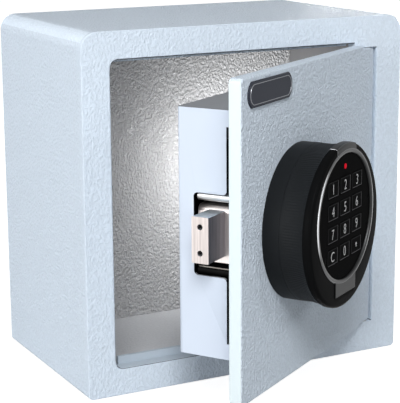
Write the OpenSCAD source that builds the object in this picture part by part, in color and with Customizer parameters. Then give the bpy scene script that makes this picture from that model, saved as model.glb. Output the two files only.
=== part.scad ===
// Small electronic safe: a steel cabinet with a front frame, a flush door on two hidden hinge pins,
// a bolt box on the back of the door, and a round knob that carries the keypad and throws the bolt.
// Lengths are in millimetres. The origin is the centre of the base, +Z is up and the front faces -Y.
// The door stands open. Its pieces are described closed and then swung about the hinge pins.

/* [Cabinet] */
// Width of the cabinet
body_w = 200; // [190:1:260]
// Height of the cabinet
body_h = 200; // [190:1:280]
// Depth of the cabinet from front face to back face
body_d = 121; // [100:1:250]
// Thickness of the cabinet's top, sides and base
wall = 4; // [2.5:0.5:6]
// Thickness of the back panel
back_t = 4; // [2.5:0.5:8]
// Radius of the two long upper corners
corner_r = 9.4; // [7:0.2:16]
// Radius of the two long lower corners
foot_r = 2.5; // [1:0.5:6]
// Gap round the back panel, closed by its weld and the paint
weld_gap = 0.1; // [0.05:0.05:0.3]

/* [Anchor holes] */
// Diameter of the holes for the anchor bolts
anchor_d = 9; // [6:0.5:13]
// Distance between the two anchor holes of the back and of the base
anchor_pitch = 140; // [60:5:160]

/* [Front frame] */
// Width of the frame beside the door
frame_side = 16.4; // [12:0.2:24]
// Width of the frame above and below the door
frame_end = 15.4; // [12:0.2:24]
// Thickness of the frame's face
frame_t = 3; // [2:0.5:5]
// Thickness of the lip that lines the opening
lip_t = 2.5; // [1.5:0.5:4]
// Corner radius of the opening
opening_r = 4.5; // [3:0.5:8]

/* [Door stops] */
// How far the stop reaches into the opening at the bottom
stop_bottom = 4; // [2:0.2:6]
// How far the stop reaches into the opening at the top
stop_top = 1.8; // [1:0.2:6]
// Thickness of the stop strips
stop_t = 2.5; // [1.5:0.5:4]
// Gap between the closed door and the stop strips
stop_gap = 0.6; // [0.3:0.1:1.5]
// How far the strike bracket reaches beyond the bolt at each end
strike_over = 4; // [3:1:10]
// Thickness of the strike bracket behind the frame
strike_t = 2.5; // [1.5:0.5:4]
// Gap between the thrown bolt and the strike bracket
strike_gap = 0.4; // [0.2:0.1:1]

/* [Door] */
// Thickness of the door plate
door_t = 7; // [6:0.5:10]
// Gap between the door and the opening, all round
door_gap = 1.2; // [1:0.1:2.5]
// Corner radius of the door's outline
door_r = 3; // [1.5:0.5:6]
// Rounding of the door's upright edges
edge_r = 1; // [0.5:0.1:2]
// Angle at which the door stands open
door_open = 33.2; // [0:0.2:70]

/* [Hinge] */
// Diameter of the hinge pins
pin_d = 4; // [3:0.5:4.5]
// Distance from the door's edge to the pins' axis
pin_inset = 4; // [4:0.5:9]
// Depth to which a pin enters the door
pin_depth = 8; // [5:1:20]
// Height of the lugs that carry the pins
lug_h = 2.5; // [2:0.5:5]
// Reach of a lug from the pins' axis towards the lock side
lug_reach = 9.8; // [6:0.2:12]
// Gap between a lug and the notch in the door
lug_gap = 0.4; // [0.3:0.1:1]
// Diameter of the washer that carries the door
washer_d = 6.6; // [5.5:0.2:7]
// Radial running clearance of pins and spindle in their bores
run_gap = 0.05; // [0.02:0.01:0.1]

/* [Bolt box] */
// Height of the knob and bolt above the middle of the door
lock_rise = 0.7; // [0:0.1:2]
// Distance from the door's edge to the bolt box
box_inset = 15.4; // [14:0.2:20]
// Width of the bolt box
box_w = 117; // [112:1:124]
// Height of the bolt box
box_h = 130; // [110:1:145]
// Depth of the bolt box behind the door
box_d = 38; // [36:1:44]
// Thickness of the bolt box sheet
box_t = 1.5; // [1:0.1:2]
// Outside radius of the bends
box_r = 2.4; // [2.2:0.2:5]
// Width of the relief between the door and the box's bolt side
relief_w = 9.4; // [7:0.2:10]
// Height of the tabs that close the relief at both ends
tab_h = 8.5; // [5:0.5:14]
// Height of the bolt window
window_h = 43.4; // [40:0.2:60]
// Depth of the bolt window's far edge behind the door
window_d = 28.4; // [27.6:0.2:32]
// Corner radius of the bolt window
window_r = 2.2; // [1:0.2:4]
// Diameter of the posts that carry the box
post_d = 8; // [7:0.5:9]
// Distance of the posts from the box's sides
post_inset = 13; // [11:1:16]
// Diameter of the box screws
screw_d = 3; // [2.5:0.5:4]
// Diameter of the box screws' heads
head_d = 7; // [6:0.5:9]
// Height of the box screws' heads
head_h = 2; // [1.5:0.1:3]

/* [Bolt] */
// Thickness of the bolt
bolt_t = 9.6; // [6:0.2:11]
// Height of the bolt
bolt_h = 24; // [18:1:28]
// Length of the drawn bolt outside the box
bolt_out = 13.8; // [12:0.2:14]
// Distance from the door's back to the bolt
bolt_set = 12.3; // [12:0.1:14]
// Travel of the bolt when it is thrown
bolt_throw = 12; // [8:0.5:13]
// Angle through which the knob turns to throw the bolt
knob_angle = 90; // [70:5:100]
// Depth to which the bolt screws are sunk
bolt_sink = 5; // [3:0.5:8]
// Distance between the two bolt screws
bolt_screw_pitch = 13.6; // [11:0.2:16]
// Thickness of the carrier sheet
carrier_t = 2.5; // [2:0.1:3]
// Height of the carrier's end flange
flange_h = 29.6; // [28.6:0.2:31]
// Outside radius of the bend along the flange's upper edge
flange_r = 3.4; // [3:0.1:5]
// Length of the flange's bent leg
flange_leg = 7; // [5:0.5:10]
// Depth of the grooves in which the carrier slides
groove_d = 1.5; // [1:0.1:2]
// Sliding clearance of the carrier
slide_gap = 0.3; // [0.2:0.05:0.5]
// Thickness of the two guides
guide_t = 5; // [3.5:0.5:6]
// Height of the free space between the flange and each guide
guide_gap = 2.2; // [1:0.1:4]
// Height of the feet that hold the guides on the door
guide_foot = 6; // [4:0.5:8]
// Thickness of the guides' feet
guide_foot_t = 2; // [1.5:0.5:4]
// Length of the carrier
carrier_l = 86; // [86:1:92]

/* [Lock motor] */
// Distance from the lock's axis to the locking pin
lock_pin_x = 22.3; // [21:0.1:24]
// Diameter of the locking pin
lock_pin_d = 4; // [3:0.5:5]
// Travel of the locking pin
lock_pin_travel = 3.5; // [3.3:0.1:4]
// Width of the lock motor's housing
motor_w = 24; // [14:1:26]
// Height of the lock motor's housing
motor_h = 20; // [14:1:24]

/* [Knob] */
// Distance from the door's edge to the knob's axis
knob_inset = 64.1; // [60:0.1:68]
// Radius of the knob at its front rim
knob_r = 43.4; // [42:0.1:46]
// Height of the knob above the door
knob_h = 27.5; // [26:0.1:30]
// Radius of the fixed base under the knob
base_r = 41.8; // [40:0.1:43]
// Height of the fixed base
base_h = 9; // [8:0.1:9.4]
// Distance of the two base screws from the knob's axis
base_screw_x = 24; // [18:1:32]
// Diameter of the base screws' heads
base_head_d = 6; // [5:0.5:8]
// Gap between the fixed base and the turning knob
turn_gap = 0.4; // [0.3:0.1:0.8]
// Radius of the hollow inside the knob
hollow_r = 38; // [37:0.1:38.6]
// Diameter of the spindle
spindle_d = 8; // [6:0.5:10]
// Wall of the bush that carries the spindle
bush_wall = 2; // [1.5:0.5:3]
// Diameter of the crank pin
crank_pin_d = 4; // [3:0.5:5]
// Clearance of the crank pin in the carrier's slot
crank_gap = 0.45; // [0.4:0.05:0.6]

/* [Keypad] */
// Height of the keypad's centre above the knob's axis
pad_rise = 5.1; // [4:0.1:5.4]
// Radius of the keypad panel
pad_r = 33.1; // [33:0.1:33.4]
// Thickness of the keypad panel
pad_t = 2; // [1.5:0.1:2.2]
// Width of the bright ring round the keypad
ring_w = 2.5; // [1.5:0.1:3]
// How far the bright ring stands above the rim
ring_proud = 0.6; // [0.5:0.1:1.5]
// Thickness of the bracket over the rim's outside
bracket_t = 0.5; // [0.3:0.1:1.2]
// Width of the ring's bracket and tab
tab_w = 25.4; // [20:0.2:28]
// Height of the ring's lower tab
tab_drop = 5.7; // [4:0.1:7]
// Width of a key
key_w = 12.7; // [11:0.1:13]
// Height of a key
key_h = 8.6; // [7:0.1:9]
// Distance between the columns of keys
key_pitch_x = 15.1; // [14.8:0.1:15.2]
// Distance between the rows of keys
key_pitch_y = 11.8; // [11.3:0.1:11.9]
// Clearance round a key in the panel
key_gap = 0.2; // [0.15:0.05:0.3]
// Travel of a key
key_travel = 0.5; // [0.3:0.05:0.6]
// Diameter of the indicator lamp
lamp_d = 3; // [2:0.5:3.5]

/* [Nameplate] */
// Width of the bare nameplate
plate_w = 48.4; // [40:0.2:60]
// Height of the bare nameplate
plate_h = 13.1; // [10:0.1:15]
// Bulge of the nameplate's ends
plate_bulge = 3.8; // [2:0.1:5]
// Thickness of the nameplate
plate_t = 1.2; // [0.8:0.1:2]
// Distance from the door's lock edge to the nameplate's centre
plate_x = 30.5; // [30:0.1:40]
// Distance from the door's top edge to the nameplate's centre
plate_drop = 9.1; // [8.8:0.1:12]

/* [Hidden] */
$fn = 64;

// Colours as the object shows them
paint = [0.85, 0.89, 0.93];
black = [0.14, 0.15, 0.16];
steel = [0.70, 0.68, 0.66];
zinc = [0.82, 0.84, 0.86];

// Places of the cabinet
front_y = -body_d / 2;
back_y = body_d / 2;
inner_w = body_w - 2 * wall;
inner_h = body_h - 2 * wall;
inner_r = max(0.5, corner_r - wall);
inner_foot_r = 1;
open_left = -body_w / 2 + frame_side;
open_right = -open_left;
open_bottom = frame_end;
open_top = body_h - frame_end;
lip_d = door_t + stop_gap;

// Places of the door, closed, with y counted from its front face
door_left = open_left + door_gap;
door_right = open_right - door_gap;
door_bottom = open_bottom + door_gap;
door_top = open_top - door_gap;
door_w = door_right - door_left;
door_h = door_top - door_bottom;
hinge_x = door_right - pin_inset;
hinge_y = door_t / 2;
lock_x = door_left + knob_inset;
door_mid = (door_bottom + door_top) / 2;
lock_z = door_mid + lock_rise;
notch_reach = norm([lug_reach, door_t / 2]) + 0.5;
washer_gap = 0.05;

// Places of the bolt work
box_left = door_left + box_inset;
box_right = box_left + box_w;
box_bottom = door_mid - box_h / 2;
box_back = door_t + box_d;
box_inner = box_back - box_t;
flange_x = box_left + box_t + 2.5;
bolt_y = door_t + bolt_set;
web_y = bolt_y - 2.2;
window_back = door_t + window_d;
guide_half = flange_h / 2 + guide_gap;
guide_left = box_left + box_t + 0.4;
guide_right = flange_x + carrier_l;
groove_left = guide_left + 7;
tongue_left = groove_left + 0.6 + bolt_throw;
web_half = guide_half + groove_d - slide_gap;
guide_end = window_back - 1.1;
crank_r = bolt_throw / (2 * sin(knob_angle / 2));
disc_front = web_y - slide_gap;
disc_t = 5.7;
disc_r = crank_r + crank_pin_d / 2 + 2.5;
lock_axis_x = lock_x + lock_pin_x;
lock_pin_tip = web_y + carrier_t + 0.5;
lock_pin_l = 18;
motor_front = lock_pin_tip + 3.8;

// Heights in the knob, counted outwards from the door's front face
barrel_z = base_h + turn_gap;
floor_t = 1.8;
cell_d = 10.5;
cell_l = 44.5;
board_z = barrel_z + floor_t + cell_d + 0.2;
board_t = 1.5;
pad_z = knob_h - 0.5 - pad_t;
key_lip = 0.5;
key_lip_t = 0.8;
key_base = board_z + board_t + key_travel + 0.2;
rim_r = 1.8;
post_r = post_d / 2;
bush_r = spindle_d / 2 + run_gap + bush_wall;
fit = 0.02;

// A rectangle with round corners, centred
module rounded(w, h, r) {
    square([w - 2 * r, h], center = true);
    square([w, h - 2 * r], center = true);
    for (sx = [-1, 1], sy = [-1, 1])
        translate([sx * (w / 2 - r), sy * (h / 2 - r)]) circle(r);
}

// A rectangle standing on the base line, with one radius at the top and another at the bottom
module arched(w, h, top_r, low_r) {
    translate([-w / 2 + top_r, low_r]) square([w - 2 * top_r, h - low_r]);
    translate([-w / 2, low_r]) square([w, h - low_r - top_r]);
    translate([-w / 2 + low_r, 0]) square([w - 2 * low_r, h - top_r]);
    for (s = [-1, 1]) {
        translate([s * (w / 2 - top_r), h - top_r]) circle(top_r);
        translate([s * (w / 2 - low_r), low_r]) circle(low_r);
    }
}

// Extrudes an outline in X and Z along Y, between two depths
module along_y(from, to) {
    translate([0, to, 0]) rotate([90, 0, 0]) linear_extrude(to - from) children();
}

// Extrudes an outline in Y and Z along X, between two places
module along_x(from, to) {
    translate([from, 0, 0]) rotate([90, 0, 90]) linear_extrude(to - from) children();
}

// A box given by its two opposite corners
module block(low, high) {
    translate(low) cube(high - low);
}

// Moves a piece from the closed door to the open door
module on_door() {
    translate([hinge_x, front_y + hinge_y, 0]) rotate([0, 0, door_open])
        translate([-hinge_x, -hinge_y, 0]) children();
}

// Moves a piece to the knob's axis; its Z then points out of the door
module on_axis() {
    on_door() translate([lock_x, 0, lock_z]) rotate([90, 0, 0]) children();
}

// The same, at the centre of the keypad
module on_pad() {
    on_axis() translate([0, pad_rise, 0]) children();
}

module tube(outer, inner, low, high) {
    translate([0, 0, low]) difference() {
        cylinder(r = outer, h = high - low);
        translate([0, 0, -1]) cylinder(r = inner, h = high - low + 2);
    }
}

// Outline of the opening, grown by a margin
module opening_outline(grow) {
    translate([0, (open_bottom + open_top) / 2])
        rounded(open_right - open_left + 2 * grow, open_top - open_bottom + 2 * grow, opening_r + grow);
}

module anchor_cuts() {
    for (s = [-1, 1]) {
        translate([s * anchor_pitch / 2, 0, -1]) cylinder(d = anchor_d, h = wall + 2);
        translate([s * anchor_pitch / 2, back_y + 1, body_h / 2]) rotate([90, 0, 0])
            cylinder(d = anchor_d, h = back_t + 2);
    }
}

// Top, sides and base, folded from one sheet
module cabinet_shell() {
    color(paint) difference() {
        along_y(front_y + frame_t, back_y) difference() {
            arched(body_w, body_h, corner_r, foot_r);
            translate([0, wall]) arched(inner_w, inner_h, inner_r, inner_foot_r);
        }
        anchor_cuts();
    }
}

module back_panel() {
    color(paint) difference() {
        along_y(back_y - back_t, back_y) translate([0, wall + weld_gap])
            arched(inner_w - 2 * weld_gap, inner_h - 2 * weld_gap, inner_r, inner_foot_r);
        anchor_cuts();
    }
}

// Front face with the door opening, lined by a lip as deep as the door
module front_frame() {
    color(paint) difference() {
        union() {
            along_y(front_y, front_y + frame_t) arched(body_w, body_h, corner_r, foot_r);
            along_y(front_y + frame_t, front_y + lip_d) opening_outline(lip_t);
        }
        along_y(front_y - 1, front_y + lip_d + 1) opening_outline(0);
        pin_path(pin_d / 2 + fit);
    }
}

// The space of both pins, as far as the outside of the lip
module pin_path(r) {
    for (z = [open_bottom - lip_t, door_top - lug_h - pin_depth])
        translate([hinge_x, front_y + hinge_y, z])
            cylinder(r = r, h = open_top + lip_t - door_top + lug_h + pin_depth);
}

module stop_top() {
    color(paint) block([open_left + opening_r, front_y + lip_d, open_top - stop_top],
        [hinge_x - notch_reach, front_y + lip_d + stop_t, open_top + lip_t]);
}

module stop_bottom() {
    color(paint) block([open_left + opening_r, front_y + lip_d, open_bottom - lip_t],
        [hinge_x - notch_reach, front_y + lip_d + stop_t, open_bottom + stop_bottom]);
}

// Angle behind the frame that the thrown bolt bears on
module strike_bracket() {
    side_x = -body_w / 2 + wall;
    face_y = front_y + bolt_y - strike_gap;
    low = lock_z - bolt_h / 2 - strike_over;
    high = lock_z + bolt_h / 2 + strike_over;
    color(zinc) {
        block([side_x, face_y - strike_t, low], [open_left - slide_gap, face_y, high]);
        block([side_x, front_y + frame_t, low], [side_x + strike_t, face_y - strike_t / 2, high]);
    }
}

// A lug in the opening's hinge corner, at the height of its lower face
module hinge_lug(z) {
    color(paint) difference() {
        along_y(front_y, front_y + door_t) intersection() {
            opening_outline(-fit);
            translate([hinge_x - lug_reach, z]) square([open_right - hinge_x + lug_reach, lug_h]);
        }
        pin_path(pin_d / 2 + fit);
    }
}

module hinge_lug_top() {
    hinge_lug(open_top - lug_h);
}

module hinge_lug_bottom() {
    hinge_lug(open_bottom);
}

module hinge_pin(z) {
    color(steel) translate([hinge_x, front_y + hinge_y, z])
        cylinder(d = pin_d, h = lip_t + lug_h + lug_gap + pin_depth);
}

module hinge_pin_top() {
    hinge_pin(open_top - lug_h - lug_gap - pin_depth);
}

module hinge_pin_bottom() {
    hinge_pin(open_bottom - lip_t);
}

module hinge_washer() {
    low = open_bottom + lug_h;
    color(steel) translate([hinge_x, front_y + hinge_y, 0])
        tube(washer_d / 2, pin_d / 2 + run_gap, low, low + lug_gap - washer_gap);
}

// Door plate with notches for the lugs, pin bores and the bush hole
module door_plate() {
    color(paint) on_door() difference() {
        intersection() {
            translate([(door_left + door_right) / 2, door_t / 2, door_bottom])
                linear_extrude(door_h) rounded(door_w, door_t, edge_r);
            along_y(-1, door_t + 1) translate([(door_left + door_right) / 2, door_mid])
                rounded(door_w, door_h, door_r);
        }
        block([hinge_x - notch_reach, -1, open_top - lug_h - lug_gap],
            [door_right + 1, door_t + 1, door_top + 1]);
        block([hinge_x - notch_reach, -1, door_bottom - 1],
            [door_right + 1, door_t + 1, open_bottom + lug_h + lug_gap]);
        for (z = [open_bottom + lug_h, open_top - lug_h - lug_gap - pin_depth])
            translate([hinge_x, hinge_y, z]) cylinder(r = pin_d / 2 + run_gap, h = lug_gap + pin_depth);
        translate([lock_x, 0, lock_z]) rotate([90, 0, 0])
            translate([0, 0, -door_t - 1]) cylinder(r = bush_r + fit, h = door_t + 2);
    }
}

// Bare plate with flat long edges and bulging ends
module nameplate() {
    bulge_r = (pow(plate_h / 2, 2) + pow(plate_bulge, 2)) / (2 * plate_bulge);
    color(black) on_door() along_y(-plate_t, 0) translate([door_left + plate_x, door_top - plate_drop])
        intersection() {
            square([plate_w, plate_h], center = true);
            union() {
                square([plate_w - 2 * plate_bulge, plate_h], center = true);
                for (s = [-1, 1]) translate([s * (plate_w / 2 - bulge_r), 0]) circle(bulge_r);
            }
        }
}

// Plan of the bolt box, inset by a margin, with its two bends
module box_plan(inset) {
    r = box_r - inset;
    low = inset > 0 ? -1 : 0;
    w = box_w - 2 * inset;
    d = box_d - inset;
    translate([box_left + inset, door_t]) {
        translate([0, low]) square([w, d - low - r]);
        translate([r, low]) square([w - 2 * r, d - low]);
        translate([r, d - r]) circle(r);
        translate([w - r, d - r]) circle(r);
    }
}

module post_places() {
    for (x = [box_left + post_inset, box_right - post_inset],
        z = [box_bottom + post_inset, box_bottom + box_h - post_inset])
        translate([x, 0, z]) rotate([-90, 0, 0]) children();
}

// Bolt window in Y and Z: round corners at its far edge, and round shoulders where it meets the relief
module window_outline() {
    near = door_t + relief_w;
    translate([(near + window_back) / 2 - window_r, door_mid])
        rounded(window_back - near + 2 * window_r, window_h, window_r);
    for (s = [-1, 1]) translate([near, door_mid]) scale([1, s]) difference() {
        translate([-window_r, window_h / 2 - 1]) square([2 * window_r, window_r + 1]);
        translate([window_r, window_h / 2 + window_r]) circle(window_r);
    }
}

// Cover of the bolt work, with the relief and the window on its bolt side
module bolt_box() {
    color(paint) on_door() difference() {
        translate([0, 0, box_bottom]) linear_extrude(box_h) box_plan(0);
        translate([0, 0, box_bottom + box_t]) linear_extrude(box_h - 2 * box_t) box_plan(box_t);
        block([box_left - 1, door_t - 1, box_bottom + tab_h],
            [box_left + box_t + 1, door_t + relief_w, box_bottom + box_h - tab_h]);
        along_x(box_left - 1, box_left + box_t + 1) window_outline();
        post_places() translate([0, 0, box_inner - 1]) cylinder(d = screw_d + 0.4, h = box_t + 2);
    }
}

module box_posts() {
    color(zinc) on_door() post_places() difference() {
        translate([0, 0, door_t]) cylinder(r = post_r, h = box_inner - door_t);
        translate([0, 0, box_inner - 10]) cylinder(r = screw_d / 2 + fit, h = 11);
    }
}

module box_screws() {
    color(steel) on_door() post_places() {
        translate([0, 0, box_inner - 8]) cylinder(d = screw_d, h = box_t + 8);
        translate([0, 0, box_back]) cylinder(d = head_d, h = head_h);
    }
}

// A guide with a round nose, a foot and a groove, for the upper side (s = 1) or the lower side (s = -1)
module guide(s) {
    r = guide_t / 2;
    start = guide_left + r;
    color(s > 0 ? zinc : black) on_door() translate([0, 0, door_mid]) scale([1, 1, s]) difference() {
        union() {
            block([start, door_t, guide_half], [guide_right, guide_end, guide_half + guide_t]);
            along_y(door_t, guide_end) translate([start, guide_half + r]) circle(r);
            block([start, door_t, guide_half + r],
                [guide_right, door_t + guide_foot_t, guide_half + guide_t + guide_foot]);
        }
        block([groove_left, web_y - slide_gap, guide_half - 1],
            [guide_right + 1, web_y + carrier_t + slide_gap, guide_half + groove_d]);
    }
}

module upper_guide() {
    guide(1);
}

module lower_guide() {
    guide(-1);
}

// Outline of the carrier's end flange in X and Z: an upright sheet whose upper edge is bent inwards
module flange_outline() {
    top = flange_h / 2;
    translate([flange_x, -top]) square([carrier_t, flange_h - flange_r]);
    translate([flange_x + flange_r, top - carrier_t]) square([flange_leg - flange_r, carrier_t]);
    translate([flange_x + flange_r, top - flange_r]) intersection() {
        difference() {
            circle(flange_r);
            circle(flange_r - carrier_t);
        }
        translate([-flange_r, 0]) square(flange_r);
    }
}

// Sliding carrier: an end flange for the bolt, and a web with tongues, a crank slot and two locking holes
module bolt_carrier() {
    slot_w = crank_pin_d + 2 * crank_gap;
    slot_x = lock_x + crank_r * sin(knob_angle / 2);
    slot_low = lock_z + crank_r * cos(knob_angle / 2) - crank_gap;
    slot_high = lock_z + crank_r + crank_gap;
    color(steel) on_door() difference() {
        union() {
            along_y(bolt_y - 5, window_back - slide_gap) translate([0, door_mid]) flange_outline();
            block([flange_x, web_y, door_mid - flange_h / 2],
                [tongue_left + 1, web_y + carrier_t, door_mid + flange_h / 2 - flange_r]);
            block([tongue_left, web_y, door_mid - web_half],
                [guide_right, web_y + carrier_t, door_mid + web_half]);
        }
        along_y(web_y - 1, web_y + carrier_t + 1) {
            translate([slot_x - slot_w / 2, slot_low]) square([slot_w, slot_high - slot_low]);
            translate([slot_x, slot_low]) circle(d = slot_w);
            translate([slot_x, slot_high]) circle(d = slot_w);
            for (x = [lock_axis_x, lock_axis_x + bolt_throw])
                translate([x, lock_z]) circle(d = lock_pin_d + 0.5);
        }
        bolt_screw_places() translate([0, 0, -1]) cylinder(r = screw_d / 2 + fit, h = bolt_out + 20);
    }
}

// The two screws of the bolt; Z runs from the bolt's end into the box
module bolt_screw_places() {
    for (s = [-1, 1])
        translate([box_left - bolt_out, bolt_y + bolt_t / 2, lock_z + s * bolt_screw_pitch / 2])
            rotate([0, 90, 0]) children();
}

module bolt_block() {
    color(steel) on_door() difference() {
        along_x(box_left - bolt_out, flange_x) translate([bolt_y + bolt_t / 2, lock_z])
            rounded(bolt_t, bolt_h, 0.6);
        bolt_screw_places() translate([0, 0, -1]) cylinder(r = screw_d / 2 + fit, h = bolt_out + 20);
    }
}

module bolt_screws() {
    end = flange_x + carrier_t - box_left + bolt_out;
    color(black) on_door() bolt_screw_places()
        translate([0, 0, bolt_sink]) cylinder(d = screw_d, h = end - bolt_sink);
}

module lock_motor() {
    color(black) on_door() difference() {
        block([lock_axis_x - motor_w / 2, motor_front, lock_z - motor_h / 2],
            [lock_axis_x + motor_w / 2, box_inner, lock_z + motor_h / 2]);
        translate([lock_axis_x, motor_front - 1, lock_z]) rotate([-90, 0, 0])
            cylinder(r = lock_pin_d / 2 + run_gap, h = lock_pin_tip + lock_pin_l + 1.3 - motor_front);
    }
}

module locking_pin() {
    color(steel) on_door() translate([lock_axis_x, lock_pin_tip, lock_z]) rotate([-90, 0, 0])
        cylinder(d = lock_pin_d, h = lock_pin_l);
}

// Flanged bush in the door plate
module spindle_bush() {
    color(zinc) on_axis() difference() {
        union() {
            translate([0, 0, -door_t]) cylinder(r = bush_r, h = door_t + 2);
            translate([0, 0, -door_t - 2.7]) cylinder(r = bush_r + 3, h = 2.7);
        }
        translate([0, 0, -door_t - 4]) cylinder(r = spindle_d / 2 + run_gap, h = door_t + 8);
    }
}

// Fixed cup under the knob
module knob_base() {
    color(black) on_axis() difference() {
        cylinder(r = base_r, h = base_h);
        translate([0, 0, 2]) cylinder(r = hollow_r, h = base_h);
        translate([0, 0, -1]) cylinder(r = bush_r + fit, h = 4);
        base_screw_places() translate([0, 0, -1]) cylinder(r = screw_d / 2 + fit, h = 4);
    }
}

module base_screw_places() {
    for (s = [-1, 1]) translate([s * base_screw_x, 0, 0]) children();
}

module base_screws() {
    color(steel) on_axis() base_screw_places() {
        cylinder(d = screw_d, h = 2);
        translate([0, 0, 2]) cylinder(d = base_head_d, h = 2);
    }
}

// Half section of the knob's outside: a slight waist, then a rim with a round front edge
module barrel_section() {
    top = knob_h;
    difference() {
        union() {
            polygon([[0, barrel_z], [base_r - 0.6, barrel_z], [base_r, barrel_z + 0.8],
                [base_r - 0.2, barrel_z + 7], [knob_r - 0.5, top - 4.4], [knob_r, top - 3.4],
                [knob_r, top - rim_r], [0, top - rim_r]]);
            translate([0, top - rim_r - 0.1]) square([knob_r - rim_r, rim_r + 0.1]);
            translate([knob_r - rim_r, top - rim_r]) circle(rim_r);
        }
    }
}

// Turning body of the knob: a hollow for the cells, a ledge for the keypad and a hub for the spindle
module knob_barrel() {
    hub_r = spindle_d / 2 + 4;
    color(black) on_axis() difference() {
        union() {
            rotate_extrude() barrel_section();
            translate([0, 0, 2.6]) cylinder(r = hub_r, h = barrel_z);
        }
        translate([0, 0, barrel_z + floor_t]) cylinder(r = hollow_r, h = board_z - barrel_z - floor_t);
        translate([0, pad_rise, board_z - 1]) cylinder(r = pad_r - 1.2, h = knob_h);
        translate([0, pad_rise, pad_z]) cylinder(r = pad_r + fit, h = knob_h);
        translate([0, pad_rise, knob_h - 1.5]) cylinder(r = pad_r + ring_w + fit, h = knob_h);
        translate([0, 0, 1]) cylinder(r = spindle_d / 2 + fit, h = barrel_z + floor_t);
        block([-tab_w / 2, pad_rise - pad_r - ring_w - tab_drop - 2.2, knob_h - 1.5],
            [tab_w / 2, pad_rise - pad_r - ring_w - tab_drop, knob_h + 1]);
    }
}

// Bright ring with a bracket over the rim at its top and a tab at its bottom
module chrome_ring() {
    face = knob_h + ring_proud;
    outer = pad_r + ring_w;
    wrap_r = knob_r + fit;
    color(zinc) on_axis() difference() {
        union() {
            translate([0, pad_rise, knob_h - 1.5]) cylinder(r = outer, h = face - knob_h + 1.5);
            intersection() {
                translate([0, 0, knob_h]) cylinder(r = wrap_r + bracket_t, h = ring_proud);
                block([-tab_w / 2, pad_rise + outer - 4, knob_h], [tab_w / 2, knob_r + 5, face]);
            }
            intersection() {
                tube(wrap_r + bracket_t, wrap_r, knob_h - 4, face);
                block([-tab_w / 2, 10, knob_h - 4], [tab_w / 2, knob_r + 5, face]);
            }
            block([-tab_w / 2, pad_rise - outer - tab_drop, knob_h], [tab_w / 2, pad_rise - outer + 4, face]);
        }
        translate([0, pad_rise, 0]) cylinder(r = pad_r + fit, h = knob_h + 5);
    }
}

// Columns and rows of the keypad, each as steps from its centre
key_rows = [1.43, 0.43, -0.57, -1.57];
module key_place(i) {
    translate([(i % 3 - 1) * key_pitch_x, key_rows[floor(i / 3)] * key_pitch_y, 0]) children();
}

module keypad_panel() {
    color(black) on_pad() difference() {
        translate([0, 0, pad_z]) cylinder(r = pad_r, h = pad_t);
        for (i = [0:11]) key_place(i) translate([0, 0, pad_z - 1]) linear_extrude(pad_t + 2)
            rounded(key_w + 2 * key_gap, key_h + 2 * key_gap, 0.8);
        translate([0, lamp_y, pad_z - 1]) cylinder(r = lamp_d / 2 + 0.1, h = pad_t + 2);
    }
}
lamp_y = key_rows[0] * key_pitch_y + key_h / 2 + 5.2;

// One key: a cap through the panel and a lip that holds it behind the panel
module key(i) {
    color(black) on_pad() key_place(i) {
        translate([0, 0, key_base]) linear_extrude(key_lip_t)
            rounded(key_w + 2 * key_lip + 2 * key_gap, key_h + 2 * key_lip + 2 * key_gap, 1.6);
        translate([0, 0, key_base]) linear_extrude(pad_z + pad_t + 0.2 - key_base) rounded(key_w, key_h, 0.6);
    }
}

module indicator_lamp() {
    color("red") on_pad() translate([0, lamp_y, board_z + board_t])
        cylinder(d = lamp_d, h = pad_z + pad_t + 0.15 - board_z - board_t);
}

module circuit_board() {
    color([0.1, 0.35, 0.2]) on_pad() translate([0, 0, board_z]) cylinder(r = pad_r - 1.4, h = board_t);
}

module batteries() {
    color(zinc) on_axis() for (k = [-1:1])
        translate([-cell_l / 2, k * (cell_d + 0.4), barrel_z + floor_t + cell_d / 2]) rotate([0, 90, 0])
            cylinder(d = cell_d, h = cell_l);
}

module spindle() {
    color(steel) on_axis() translate([0, 0, -disc_front])
        cylinder(d = spindle_d, h = disc_front + barrel_z + floor_t);
}

module spindle_washer() {
    color(steel) on_axis()
        tube(spindle_d / 2 + 4, spindle_d / 2 + run_gap, -disc_front + disc_t, -door_t - 2.8);
}

module crank_disc() {
    color(zinc) on_axis() difference() {
        translate([0, 0, -disc_front]) cylinder(r = disc_r, h = disc_t);
        translate([0, 0, -disc_front - 1]) cylinder(r = spindle_d / 2 + fit, h = disc_t + 2);
        crank_place() translate([0, 0, -disc_front - 1]) cylinder(r = crank_pin_d / 2 + fit, h = 4);
    }
}

module crank_place() {
    rotate([0, 0, -knob_angle / 2]) translate([0, crank_r, 0]) children();
}

module crank_pin() {
    color(steel) on_axis() crank_place() translate([0, 0, -web_y - carrier_t - 0.8])
        cylinder(d = crank_pin_d, h = web_y + carrier_t + 0.8 - disc_front + 3);
}

cabinet_shell();
front_frame();
back_panel();
stop_top();
stop_bottom();
strike_bracket();
hinge_lug_top();
hinge_lug_bottom();
hinge_pin_top();
hinge_pin_bottom();
hinge_washer();
door_plate();
nameplate();
bolt_box();
box_posts();
box_screws();
upper_guide();
lower_guide();
lock_motor();
locking_pin();
spindle_bush();
knob_base();
base_screws();
bolt_carrier();
bolt_block();
bolt_screws();
knob_barrel();
chrome_ring();
keypad_panel();
indicator_lamp();
circuit_board();
batteries();
spindle();
spindle_washer();
crank_disc();
crank_pin();
key(0);  // key_1
key(1);  // key_2
key(2);  // key_3
key(3);  // key_4
key(4);  // key_5
key(5);  // key_6
key(6);  // key_7
key(7);  // key_8
key(8);  // key_9
key(9);  // key_clear
key(10);  // key_0
key(11);  // key_enter
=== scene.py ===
"""Looks of a small electronic safe: hammered paint, steel bolt work and a dark turning knob with a keypad.

Places are in millimetres until a mesh is made: x from the cabinet's middle, y inwards from its front face
and z up from its base. A piece of the door is given as on the closed door, and on_door() then swings it
about the hinge pins to where the open door stands. A piece of the knob is given round the knob's axis.
"""
import math

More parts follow.
